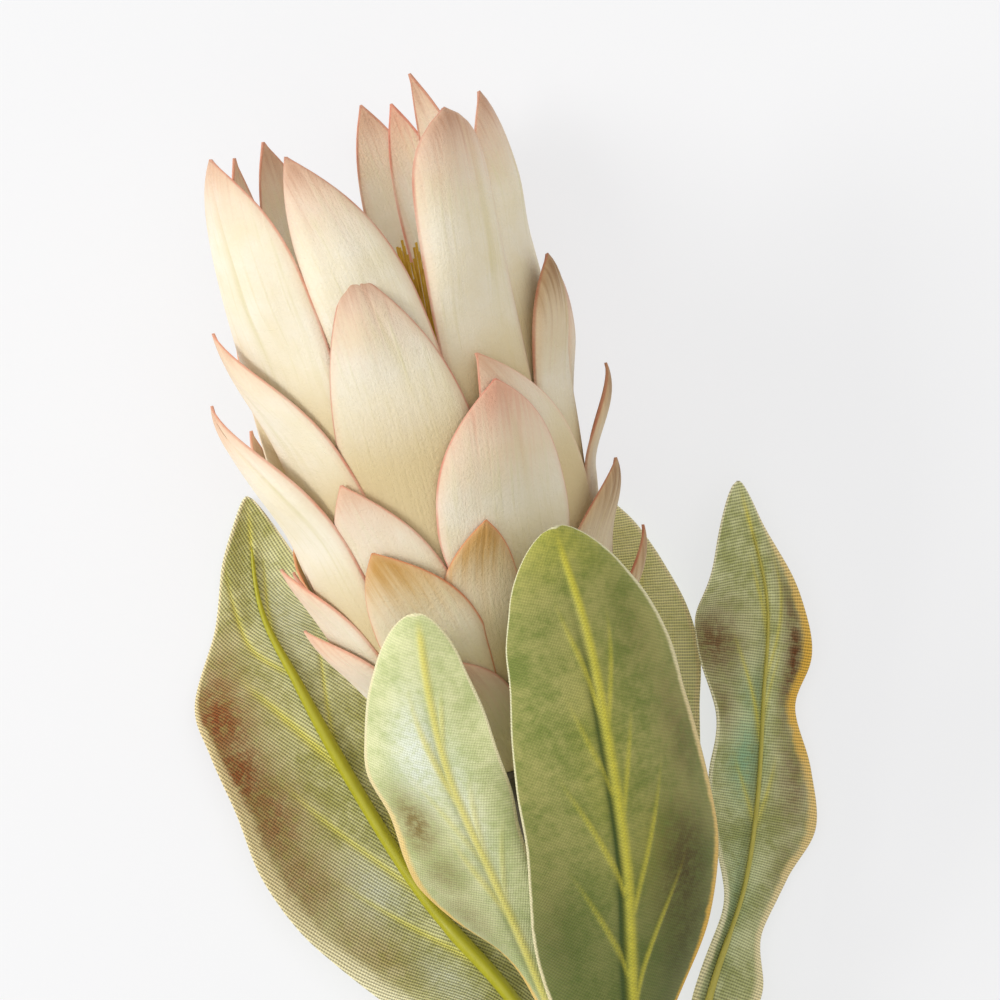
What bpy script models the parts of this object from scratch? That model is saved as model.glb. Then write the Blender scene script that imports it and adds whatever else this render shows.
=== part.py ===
"""Pressed-fabric protea on a cut stem, lying on a flat surface.

The tables are in millimetres and degrees, and MM turns them into metres.
The flower frame is (across, up, front): up runs along the flower's axis from the
foot of the head, front is the side that faces up when the flower lies down, and
across is to the right of someone who looks at the front. place() lays it down:
the head's underside and the stem's end touch the surface.
"""
import math

import bmesh
import bpy
import numpy as np

MM = 0.001

# The head: a deep bowl that narrows again towards its mouth.
FOOT_RADIUS = 4.0
BOWL_RISE = 27.5
BOWL_REACH = 22.0
SHOULDER_UP = 70.0
MOUTH_TAPER = 4.0
MOUTH_REACH = 55.0
LAYER_PITCH = 0.85
BRACT_THICKNESS = 0.5
BRACT_FOOT_WIDTH = 0.3
BRACT_WIDEST = 0.5
BRACT_TIP_HALF = 0.6
FOOT_HALF_ANGLE = 0.37
EXTRA_HALF_ANGLE = 0.09
EXTRA_FROM = 25.0
EXTRA_OVER = 20.0
SWING_POWER = 5.0
HEAD_BOW = 0.00024
BRACT_COLUMNS = 4
BRACT_ROWS = 9
ROW_EASE = 1.5
CROWN = 1.3
CROWN_REACH = 12.0
PRESSED_FROM = 120
PRESSED_OVER = 36

# The stem and what sits on it.
STEM_RADIUS = 3.0
STEM_TOP = -12.3
STEM_END = -226.0
STEM_BOW = 0.00012
COLLAR_FOOT = -12.0
GAP = 0.35
CORE_DEPTH = 1.0
TUFT_TOP = 102.0

# The lie: the head rests where its underside is widest.
REST_UP = 47.0
REST_RADIUS = 33.05
TILT = math.asin((REST_RADIUS - STEM_RADIUS) / (REST_UP - STEM_END))
FOOT_HEIGHT = REST_RADIUS - REST_UP * math.sin(TILT)
SHIFT = (-2.77, 45.19, 0.0)

LEAF_THICKNESS = 0.8
LEAF_COLUMNS = 6
LEAF_ROWS = 36
FOOT_TURN = 0.3
ROUND_FROM = 0.9
ROUND_END = 0.98
MARGIN_WAVES_FROM = 0.2
MARGIN_WAVES_TO = 0.1
WIRE_SWELLS_BY = 0.3
WIRE_THINS = (0.55, 0.4)
WIRE_CLEAR = 0.2
RIB_POINTS = 16

CREAM = (0.86, 0.80, 0.66)
SAGE = (0.36, 0.42, 0.25)
LIME = (0.40, 0.45, 0.02)
MOSS = (0.34, 0.37, 0.05)
TAUPE = (0.07, 0.06, 0.04)
OCHRE = (0.58, 0.38, 0.03)
FOAM = (0.60, 0.56, 0.40)

# Bracts: name, azimuth at the foot and at the tip (0 is the front, + to the
# right), how far up the tip is, half width, layer from inside out, how far the
# tip leans out, where it comes free of the layers above, and how blunt it is.
BRACTS = [
    ("tall_bract_01", -49, -66, 128.7, 15.0, 3, 2.0, 84, 7.0),
    ("tall_bract_02", -4, -27, 126.2, 11.0, 2, 1.5, 86, 5.0),
    ("tall_bract_03", 31, 39, 126.8, 10.0, 1, 2.0, 84, 14.0),
    ("tall_bract_04", 68, 68, 127.4, 12.0, 0, 1.6, 94, 7.0),
    ("tall_bract_05", 136, 148, 132.8, 9.0, 0, 0.5, 116, 3.0),
    ("tall_bract_06", 154, 161, 127.6, 7.5, 1, 0.3, 92, 5.0),
    ("tall_bract_07", 165, 174, 128.8, 8.5, 2, 0.3, 92, 5.0),
    ("tall_bract_08", -150, -138, 127.8, 9.0, 0, 0.5, 92, 5.0),
    ("tall_bract_09", -126, -121, 126.4, 8.0, 1, 0.5, 92, 4.0),
    ("tall_bract_10", -98, -102, 112.0, 9.0, 0, -0.5, 92, 3.0),
    ("tall_bract_11", -82, -84, 107.0, 11.0, 1, 0.3, 92, 4.0),
    ("upper_bract_01", -6, -11, 102.4, 15.0, 4, 1.0, 76, 2.8),
    ("upper_bract_02", -36, -79, 95.0, 8.5, 5, 2.3, 70, 4.0),
    ("upper_bract_03", 63, 73, 92.4, 9.0, 2, 2.0, 66, 10.0),
    ("upper_bract_04", 98, 95, 86.3, 9.0, 1, 3.0, 60, 4.0),
    ("upper_bract_05", 129, 131, 92.0, 9.0, 3, 1.0, 70, 3.4),
    ("upper_bract_06", 173, 173, 97.0, 8.0, 3, 0.5, 72, 3.2),
    ("upper_bract_07", -151, -150, 90.0, 9.5, 2, 0.5, 72, 3.6),
    ("upper_bract_08", -107, -106, 93.0, 10.5, 2, 1.0, 74, 3.2),
    ("middle_bract_01", -46, -86, 81.0, 8.0, 7, 3.5, 48, 5.0),
    ("middle_bract_02", -25, -31, 61.6, 12.7, 6, 0.5, 48, 2.6),
    ("middle_bract_03", 22, 27, 73.6, 15.2, 6, 0.6, 46, 3.8),
    ("middle_bract_04", 42, 24, 79.3, 15.0, 5, -0.4, 66, 2.2),
    ("middle_bract_05", 84, 90, 67.7, 9.0, 4, 5.5, 48, 4.0),
    ("middle_bract_06", 130, 128, 70.0, 11.0, 4, 1.6, 48, 3.4),
    ("middle_bract_07", 166, 168, 72.0, 11.0, 5, 1.5, 52, 3.2),
    ("middle_bract_08", -143, -145, 68.0, 8.0, 3, 1.0, 50, 3.6),
    ("middle_bract_09", -100, -105, 73.0, 10.5, 3, 2.0, 48, 3.2),
    ("lower_bract_01", -53, -72, 47.4, 6.5, 8, 1.2, 32, 3.0),
    ("lower_bract_02", -17, -26, 47.7, 11.5, 8, 0.5, 30, 3.2),
    ("lower_bract_03", 4, 13, 47.9, 8.5, 7, 0.3, 36, 4.0),
    ("lower_bract_04", 63, 74, 50.4, 12.0, 7, 3.0, 34, 4.0),
    ("lower_bract_05", 116, 118, 46.0, 11.0, 5, 1.5, 34, 3.2),
    ("lower_bract_06", 160, 160, 50.0, 11.0, 6, 1.0, 34, 3.4),
    ("lower_bract_07", -156, -158, 45.0, 11.0, 4, 1.0, 34, 3.2),
    ("lower_bract_08", -109, -110, 48.0, 11.0, 4, 1.5, 34, 3.4),
    ("lower_bract_09", -79, -82, 45.0, 8.0, 5, 0.5, 32, 3.2),
    ("base_bract_01", -50, -74, 35.0, 6.5, 9, 1.2, 16, 4.0),
    ("base_bract_02", -10, -22, 26.0, 8.5, 9, 0.3, 14, 3.2),
    ("base_bract_03", 32, 36, 32.0, 9.5, 8, 0.3, 16, 3.2),
    ("base_bract_04", 84, 88, 36.5, 7.5, 8, 5.5, 14, 2.6),
    ("base_bract_05", 134, 136, 31.0, 9.5, 7, 1.0, 14, 3.2),
    ("base_bract_06", 180, 180, 29.0, 9.5, 7, 1.0, 14, 3.2),
    ("base_bract_07", -124, -122, 32.0, 9.5, 5, 1.0, 14, 3.2),
]

# Leaves: the midrib's points from the stem to the tip in the flower frame, the
# way it faces at its foot, above the foot and at its tip, the half widths to the
# left and to the right at even steps from foot to tip, the fold of each half
# (degrees, + towards the face), the ripple of the margins (size, waves, start in
# turns), the side that the wire rib is on, and the rib's radius at its foot,
# middle and tip.
LEAVES = {
    "leaf_back_left": dict(
        midrib=[(-6.0, -86, -2.2), (-15.2, -52.1, -12.5), (-25.2, -30.7, -20), (-32.9, -5.4, -26),
                (-38.5, 18.7, -29.2), (-41.4, 34.9, -31.1), (-37.8, 57.8, -33.1)],
        face=((0.92, 0, 0.4), (0.1, 0, 1), (0.1, 0, 1)),
        left=[1.5, 7, 14, 19.1, 22.1, 25.8, 26.7, 24.6, 23.5, 21.3, 10.4, 6.3, 3],
        right=[1.5, 7.5, 11, 13.8, 15.8, 17, 17.8, 17.8, 17.2, 16, 13, 8.5, 3.5],
        fold=(12, 8), ripple=(1.2, 2.2, 0.1), rib=1, wire=(1.15, 1.35, 0.35)),
    "leaf_front_left": dict(
        midrib=[(-4.9, -72, 3.8), (-7.6, -43.2, 16), (-10, -22.9, 26), (-12.5, -2.2, 33.5),
                (-12.2, 14.2, 37.5), (-9.8, 33.6, 40.0)],
        face=((-0.75, 0, 0.65), (-0.3, 0, 1), (-0.3, 0, 1)),
        left=[1.5, 2.5, 3.9, 7.4, 14, 17.6, 17.4, 17, 19.1, 17.4, 14.5, 10.5, 8],
        right=[1.5, 3, 5, 6.5, 7.5, 8, 8.7, 10.4, 11, 10.6, 9.2, 6.8, 5],
        fold=(-16, -10), ripple=(1.1, 2.4, 0.35), rib=-1, wire=(1.15, 0.8, 0.35)),
    "leaf_front_right": dict(
        midrib=[(3.8, -88, 4.0), (10.3, -56.3, 15), (16.3, -28.9, 26), (19.5, -3.1, 34),
                (21.4, 20.4, 38.5), (20.7, 42.7, 41.0)],
        face=((0.75, 0, 0.65), (0.35, 0, 1), (0.35, 0, 1)),
        left=[1.5, 7.5, 13, 17.5, 20, 20.4, 20.1, 20.2, 19, 17.2, 16.1, 12.5, 9],
        right=[1.5, 7.5, 13, 18, 22, 24.7, 24.6, 23.4, 21.7, 20.2, 16.6, 11.6, 8],
        fold=(-14, -18), ripple=(0.9, 1.6, 0.6), rib=-1, wire=(1.15, 0.8, 0.35)),
    "leaf_back_right": dict(
        midrib=[(4.7, -80, -2.4), (12, -49.5, -13), (20, -22.4, -21.8), (26, 3, -27),
                (29, 22.6, -29.3), (30, 39.5, -31.2)],
        face=((-0.9, 0, 0.42), (-0.1, 0, 1), (-0.1, 0, 1)),
        left=[1.5, 5, 8.3, 11, 13.4, 15.2, 16.4, 17, 16.7, 15.2, 12.2, 8, 5],
        right=[1.5, 5, 8.3, 11, 13.4, 15.2, 16, 16.4, 17.4, 15.9, 12.4, 8.5, 5],
        fold=(6, 10), ripple=(0.8, 2.0, 0.2), rib=1, wire=(1.15, 0.8, 0.35)),
    "leaf_side_right": dict(
        midrib=[(4.5, -106, -1.1), (25.6, -64, -8.5), (38.2, -45.4, -12.6), (45.0, -31.0, -15.0),
                (52.4, -10.2, -16.2), (58.9, 9.6, -17.7), (60.0, 34.5, -18.8)],
        face=((-0.98, 0, 0.18), (0.25, 0, 1), (0.15, 0, 1)),
        left=[1.5, 2.4, 3, 3.4, 3.6, 6.2, 9.5, 11.3, 10.6, 15.1, 15.2, 9.6, 4.5],
        right=[1.5, 4, 8, 10.7, 7.7, 9.9, 13.6, 12, 8, 9.9, 7.3, 3.6, 2],
        fold=(12, -12), ripple=(2.0, 3.4, 0.3), rib=1, wire=(1.15, 0.6, 0.3)),
}


def smooth(x):
    """Ease from 0 to 1 with no slope at either end."""
    x = np.clip(x, 0.0, 1.0)
    return x * x * (3.0 - 2.0 * x)


def head_radius(up):
    """The bowl's radius: a quick exponential swell, then a square-law taper."""
    taper = MOUTH_TAPER * (np.clip(up - SHOULDER_UP, 0.0, None) / MOUTH_REACH) ** 2
    return FOOT_RADIUS + BOWL_RISE * (1.0 - np.exp(-up / BOWL_REACH)) - taper


def head_slope(up):
    """How fast the bowl's radius grows on the way up."""
    taper = 2.0 * MOUTH_TAPER * np.clip(up - SHOULDER_UP, 0.0, None) / MOUTH_REACH ** 2
    return BOWL_RISE / BOWL_REACH * np.exp(-up / BOWL_REACH) - taper


def shell_point(up, offset):
    """Radius and height of the point that lies offset outside the bowl at up."""
    slope = head_slope(up)
    length = np.hypot(1.0, slope)
    return head_radius(up) + offset / length, up - offset * slope / length


def place(across, up, front):
    """Lay the flower down: tilt it about its foot, then lift and shift it."""
    y = up * math.cos(TILT) - front * math.sin(TILT)
    z = up * math.sin(TILT) + front * math.cos(TILT) + FOOT_HEIGHT
    return np.stack([across + SHIFT[0], y + SHIFT[1], z + SHIFT[2]], axis=-1) * MM


def bract_sheet(bract, s, t):
    """A bract's middle surface: s runs from foot to tip, t from edge to edge.

    It follows the bowl at its layer's distance, swells to its widest half way
    and then closes to the tip by a power law. Once free it leans out and crowns,
    but the bracts underneath are pressed flat by the head's weight.
    """
    _, low, high, tip, half_width, layer, lean, free_up, blunt = bract
    up = tip * s ** ROW_EASE
    v = up / tip
    stands = 1.0 - smooth((abs(low) - PRESSED_FROM) / PRESSED_OVER)
    free = stands * smooth((up - free_up) / (tip - free_up))
    swell = BRACT_FOOT_WIDTH + (1.0 - BRACT_FOOT_WIDTH) * np.sin(
        0.5 * math.pi * np.clip(v / BRACT_WIDEST, 0.0, 1.0))
    close = 1.0 - (np.clip(v - BRACT_WIDEST, 0.0, None) / (1.0 - BRACT_WIDEST)) ** blunt
    crown = stands * CROWN * smooth((up - free_up) / CROWN_REACH) * close * (1.0 - t * t)
    radius, height = shell_point(up, LAYER_PITCH * layer + lean * free + crown)
    widest_angle = FOOT_HALF_ANGLE + EXTRA_HALF_ANGLE * smooth((up - EXTRA_FROM) / EXTRA_OVER)
    half = np.clip(half_width * swell * close, BRACT_TIP_HALF, widest_angle * radius)
    angle = np.radians(low + (high - low) * v ** SWING_POWER) + t * half / radius
    return radius * np.sin(angle) + HEAD_BOW * height ** 2, height, radius * np.cos(angle)


def curve_through(points, s):
    """A smooth curve through the points (Catmull-Rom on their chord lengths)."""
    points = np.array(points, dtype=float)
    chord = np.sqrt(np.linalg.norm(np.diff(points, axis=0), axis=1))
    knots = np.concatenate([[0.0], np.cumsum(chord)]) / chord.sum()
    slopes = np.gradient(points, knots, axis=0)
    span = np.clip(np.searchsorted(knots, s, side="right") - 1, 0, len(knots) - 2)
    width = knots[span + 1] - knots[span]
    u = ((s - knots[span]) / width)[..., None]
    start, end = points[span], points[span + 1]
    lead, trail = slopes[span] * width[..., None], slopes[span + 1] * width[..., None]
    return ((2 * u ** 3 - 3 * u ** 2 + 1) * start + (u ** 3 - 2 * u ** 2 + u) * lead
            + (3 * u ** 2 - 2 * u ** 3) * end + (u ** 3 - u ** 2) * trail)


def unit(vectors):
    return vectors / np.linalg.norm(vectors, axis=-1, keepdims=True)


def even_curve(values, s):
    """A smooth curve through evenly spaced values (Hermite, slopes from neighbours)."""
    values = np.array(values, dtype=float)
    slopes = np.gradient(values)
    along = s * (len(values) - 1)
    span = np.clip(along.astype(int), 0, len(values) - 2)
    u = along - span
    return ((2 * u ** 3 - 3 * u ** 2 + 1) * values[span] + (u ** 3 - 2 * u ** 2 + u) * slopes[span]
            + (3 * u ** 2 - 2 * u ** 3) * values[span + 1] + (u ** 3 - u ** 2) * slopes[span + 1])


def leaf_half(leaf, s, t):
    """Half the leaf's width on the side of t, closed by an ellipse at the tip."""
    close = np.clip((s - ROUND_FROM) / (1.0 - ROUND_FROM), 0.0, ROUND_END)
    width = np.where(t < 0, even_curve(leaf["left"], s), even_curve(leaf["right"], s))
    return width * np.sqrt(1.0 - close ** 2)


def leaf_frame(leaf, s):
    """Midrib point, direction to the right, and facing direction at s."""
    middle = curve_through(leaf["midrib"], s)
    step = 0.002
    along = unit(curve_through(leaf["midrib"], np.clip(s + step, 0, 1))
                 - curve_through(leaf["midrib"], np.clip(s - step, 0, 1)))
    foot, blade, tip = (np.array(side, dtype=float) for side in leaf["face"])
    facing = blade + (tip - blade) * s[..., None]
    facing = foot + (facing - foot) * smooth(s / FOOT_TURN)[..., None]
    right = unit(np.cross(along, facing))
    return middle, right, np.cross(right, along)


def leaf_sheet(leaf, s, t):
    """A leaf's middle surface: s runs from foot to tip, t from left to right.

    Each half turns up or down as an arc, and the margins ripple.
    """
    middle, right, facing = leaf_frame(leaf, s)
    half = leaf_half(leaf, s, t)
    bend = np.radians(np.where(t < 0, *leaf["fold"])) * np.abs(t)
    height, waves, start = leaf["ripple"]
    ripple = height * np.sin(2 * math.pi * (waves * s + start + 0.2 * np.sign(t))) * t * t
    ripple = ripple * smooth(s / MARGIN_WAVES_FROM) * smooth((1.0 - s) / MARGIN_WAVES_TO)
    spread = (half * t * np.cos(bend))[..., None] * right
    rise = (half * np.abs(t) * np.sin(bend) + ripple)[..., None] * facing
    point = middle + spread + rise
    return point[..., 0], point[..., 1], point[..., 2]


def material(name, colour, roughness):
    """A plain Principled finish."""
    finish = bpy.data.materials.new(name)
    finish.use_nodes = True
    shader = finish.node_tree.nodes["Principled BSDF"]
    shader.inputs["Base Color"].default_value = (*colour, 1.0)
    shader.inputs["Roughness"].default_value = roughness
    shader.inputs["Metallic"].default_value = 0.0
    return finish


def keep(item, finish):
    """Put a finished object in the flower's collection, shaded smooth."""
    flower.objects.link(item)
    item.data.materials.append(finish)
    return item


def sheet_object(name, sheet, columns, rows, thickness, finish):
    """A flat grid bent to the sheet's formula and given its thickness."""
    mesh = bpy.data.meshes.new(name)
    grid = bmesh.new()
    bmesh.ops.create_grid(grid, x_segments=columns, y_segments=rows, size=1.0)
    flat = np.array([vertex.co[:] for vertex in grid.verts])
    points = place(*sheet(0.5 * (flat[:, 1] + 1.0), flat[:, 0]))
    for vertex, point in zip(grid.verts, points):
        vertex.co = point
    grid.to_mesh(mesh)
    grid.free()
    mesh.shade_smooth()
    item = keep(bpy.data.objects.new(name, mesh), finish)
    wall = item.modifiers.new("Thickness", "SOLIDIFY")
    wall.thickness = thickness * MM
    wall.offset = 0.0
    return item


def turned_object(name, profile, steps, finish):
    """A profile of (radius, up) points, top to bottom, turned about the axis."""
    mesh = bpy.data.meshes.new(name)
    points = [(radius * MM, 0.0, up * MM) for radius, up in profile]
    mesh.from_pydata(points, [(i, i + 1) for i in range(len(points) - 1)], [])
    item = keep(bpy.data.objects.new(name, mesh), finish)
    turn = item.modifiers.new("Turn", "SCREW")
    turn.steps = steps
    turn.render_steps = steps
    turn.use_merge_vertices = True
    turn.merge_threshold = 0.00001
    turn.use_smooth_shade = True
    item.rotation_euler = (TILT - 0.5 * math.pi, 0.0, 0.0)
    item.location = place(0.0, 0.0, 0.0)
    return item


def tube_object(name, points, radii, finish):
    """A round wire with filled ends through the points."""
    curve = bpy.data.curves.new(name, "CURVE")
    curve.dimensions = "3D"
    curve.bevel_depth = MM
    curve.bevel_resolution = 2
    curve.use_fill_caps = True
    spline = curve.splines.new("POLY")
    spline.points.add(len(points) - 1)
    for knot, point, radius in zip(spline.points, points, radii):
        knot.co = (*point, 1.0)
        knot.radius = radius
    return keep(bpy.data.objects.new(name, curve), finish)


def make_stem(finish):
    """The stem: a slightly bowed rod from under the collar to its cut end."""
    up = np.linspace(STEM_TOP, STEM_END, 14)
    bow = -STEM_BOW * (up - STEM_TOP) ** 2
    tube_object("stem", place(bow, up, 0.0 * up), [STEM_RADIUS] * len(up), finish)


def make_collar(finish):
    """The taped collar: a cone under the bracts' feet."""
    outer_radius, outer_up = shell_point(0.0, 8.3)
    inner_radius, inner_up = shell_point(0.0, -CORE_DEPTH)
    inner_up -= GAP
    profile = [(0.0, inner_up), (inner_radius - GAP, inner_up),
               (outer_radius - GAP, outer_up - 0.3), (outer_radius, outer_up - 1.2),
               (6.2, -9.6), (4.2, COLLAR_FOOT), (0.0, COLLAR_FOOT)]
    turned_object("stem_collar", profile, 24, finish)


def make_core(finish):
    """The receptacle: it fills the bowl's foot and domes over."""
    up = np.linspace(26.0, 0.0, 7)
    radius, height = shell_point(up, -CORE_DEPTH)
    wall = list(zip(radius.tolist(), height.tolist()))
    dome = [(0.0, 39.0), (9.0, 37.6), (16.5, 33.6), (21.5, 28.6)]
    turned_object("flower_core", dome + wall[1:] + [(0.0, wall[-1][1])], 24, finish)


def make_tuft(finish):
    """The stamens' outer shape: a slim brush that stands on the dome."""
    profile = [(0.0, TUFT_TOP), (7.0, 100.0), (12.5, 93.0), (12.5, 76.0),
               (9.5, 52.0), (8.2, 38.2 + GAP), (4.0, 39.0 + GAP), (0.0, 39.4 + GAP)]
    turned_object("stamen_tuft", profile, 20, finish)


def wire_radius(leaf, s):
    """The wire's radius: eased from foot to middle, then from middle to tip."""
    foot, middle, tip = leaf["wire"]
    start, over = WIRE_THINS
    return (foot + (middle - foot) * smooth(s / WIRE_SWELLS_BY)
            + (tip - middle) * smooth((s - start) / over))


def make_rib(name, leaf, finish):
    """The wire glued along a leaf's midrib, from the stem almost to the tip."""
    s = np.linspace(0.0, 0.93, RIB_POINTS)
    middle, _, facing = leaf_frame(leaf, s)
    radii = wire_radius(leaf, s)
    clear = GAP + WIRE_CLEAR * smooth(s / WIRE_SWELLS_BY)
    lift = leaf["rib"] * (0.5 * LEAF_THICKNESS + clear + radii)
    route = middle + lift[:, None] * facing
    tube_object(name + "_rib", place(*route.T), radii.tolist(), finish)


for old in list(bpy.data.objects):
    bpy.data.objects.remove(old)
flower = bpy.data.collections.new("protea_stem")
bpy.context.scene.collection.children.link(flower)

bract_felt = material("bract_felt", CREAM, 0.9)
leaf_cloth = material("leaf_cloth", SAGE, 0.75)
rib_plastic = material("rib_plastic", LIME, 0.45)
stem_plastic = material("stem_plastic", MOSS, 0.5)
collar_tape = material("collar_tape", TAUPE, 0.8)
core_foam = material("core_foam", FOAM, 0.9)
stamen_fibre = material("stamen_fibre", OCHRE, 0.7)

make_stem(stem_plastic)
make_collar(collar_tape)
make_core(core_foam)
make_tuft(stamen_fibre)
for entry in BRACTS:
    sheet_object(entry[0], lambda s, t, b=entry: bract_sheet(b, s, t),
                 BRACT_COLUMNS, BRACT_ROWS, BRACT_THICKNESS, bract_felt)
for leaf_name, leaf_shape in LEAVES.items():
    sheet_object(leaf_name, lambda s, t, shape=leaf_shape: leaf_sheet(shape, s, t),
                 LEAF_COLUMNS, LEAF_ROWS, LEAF_THICKNESS, leaf_cloth)
    make_rib(leaf_name, leaf_shape, rib_plastic)
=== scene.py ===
"""The looks of a pressed-fabric protea stem that lies on a pale surface.

Tables are in millimetres and degrees, and MM turns them into metres. The flower
frame is (across, up, front), as the solid model has it: up runs along the
flower's axis from the foot of the head, and front is the side that faces up.
"""
import math

import bpy
import numpy as np
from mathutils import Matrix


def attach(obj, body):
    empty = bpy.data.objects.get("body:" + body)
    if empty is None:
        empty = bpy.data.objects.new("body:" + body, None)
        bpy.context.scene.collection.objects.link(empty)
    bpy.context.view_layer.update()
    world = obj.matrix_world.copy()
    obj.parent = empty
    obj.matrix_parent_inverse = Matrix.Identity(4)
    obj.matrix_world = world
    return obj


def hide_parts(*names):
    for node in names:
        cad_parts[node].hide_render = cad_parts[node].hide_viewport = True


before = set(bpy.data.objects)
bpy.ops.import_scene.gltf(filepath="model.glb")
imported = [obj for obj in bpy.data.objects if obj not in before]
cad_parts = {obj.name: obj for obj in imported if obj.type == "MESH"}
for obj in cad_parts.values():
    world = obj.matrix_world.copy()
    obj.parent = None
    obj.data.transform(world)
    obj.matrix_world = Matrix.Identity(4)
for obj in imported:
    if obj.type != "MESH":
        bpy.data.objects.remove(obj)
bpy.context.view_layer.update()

MM = 0.001

# The head's bowl, as the solids have it.
FOOT_RADIUS = 4.0
BOWL_RISE = 27.5
BOWL_REACH = 22.0
SHOULDER_UP = 70.0
MOUTH_TAPER = 4.0
MOUTH_REACH = 55.0
LAYER_PITCH = 0.85
BRACT_FOOT_WIDTH = 0.3
BRACT_WIDEST = 0.5
FOOT_HALF_ANGLE = 0.37
EXTRA_HALF_ANGLE = 0.09
EXTRA_FROM = 25.0
EXTRA_OVER = 20.0
SWING_POWER = 5.0
HEAD_BOW = 0.00024
ROW_EASE = 1.5
CROWN = 1.5
CROWN_REACH = 16.0
PRESSED_FROM = 120
PRESSED_OVER = 36
BRACT_THICKNESS = 0.6
BRACT_TIP_HALF = 0.25
BRACT_GRID = (30, 90)

# The lie of the flower.
STEM_RADIUS = 3.0
STEM_TOP = -12.3
STEM_END = -226.0
STEM_BOW = 0.00012
REST_UP = 47.0
REST_RADIUS = 33.05
TILT = math.asin((REST_RADIUS - STEM_RADIUS) / (REST_UP - STEM_END))
FOOT_HEIGHT = REST_RADIUS - REST_UP * math.sin(TILT)
SHIFT = (-2.77, 45.19, 0.0)

# The bracts' fine form: how round the keel's ridge is, the groove's width, how strong
# the painted shade in the groove can be, the height of the puckers, and how far the edges roll in.
KEEL_ROUND = 0.01
GROOVE_WIDTH = 0.07
GROOVE_SHADE_MOST = 0.6
PUCKER = (0.12, 0.16)
EDGE_ROLL = 0.5
ROLL_FROM = 0.86

LEAF_THICKNESS = 0.7
LEAF_GRID = (84, 220)
FOOT_TURN = 0.3
ROUND_FROM = 0.9
ROUND_END = 0.9995
RIM_LEAST = 0.25
VEIN_PRESS = 0.4
VALLEY_PRESS = 0.6
VALLEY_WIDTH = 0.9
VEIN_SWING = 1.15
VEIN_THINS = 0.45

# The wires: how far along they swell, thin and end, and the sleeve at the foot.
WIRE_SWELLS_BY = 0.3
WIRE_THINS = (0.55, 0.4)
WIRE_END = 0.93
WIRE_GLUE = 0.1
SLEEVE = 0.2
SLEEVE_END = 0.30
SLEEVE_FADE = 0.02
WIRE_SIDES = 14
STEM_SIDES = 36
FLUTES = 9.0
FLUTE_DEPTH = 0.07

# The collar's profile, radius and height, under its flared top, and the tape's pitch.
COLLAR_UNDER = 8.3
COLLAR_PROFILE = [(7.0, -8.4), (5.4, -10.6), (4.2, -12.0), (3.4, -15.0), (3.3, -24.0)]
TAPE_PITCH = 3.4
TAPE_STEP = 0.35
CRINKLE = 0.12

CORE_TOP = 39.0
STAMENS = 170
STAMEN_ROOTS = 8.0
STAMEN_REACH = (88.0, 103.0)

# The view: the axis leans to the left, and the frame is FRAME_MM wide.
LEAN = math.radians(-16.0)
LENS_MM = 300.0
SENSOR_MM = 36.0
FRAME_MM = 202.0
AIM = (12.1, 46.3)

# Soft boxes: where each one stands from the aim (its height from the floor), its size
# in metres, and its power in watts. The room gives the rest of the light.
KEY_LIGHT = ((-1.9, 0.7, 1.15), 0.9, 29.5)
FILL_LIGHT = ((0.2, 0.2, 1.8), 1.6, 7.0)
ROOM_TINT = (1.0, 0.94, 0.825, 1.0)
ROOM_STRENGTH = 0.57

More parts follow.
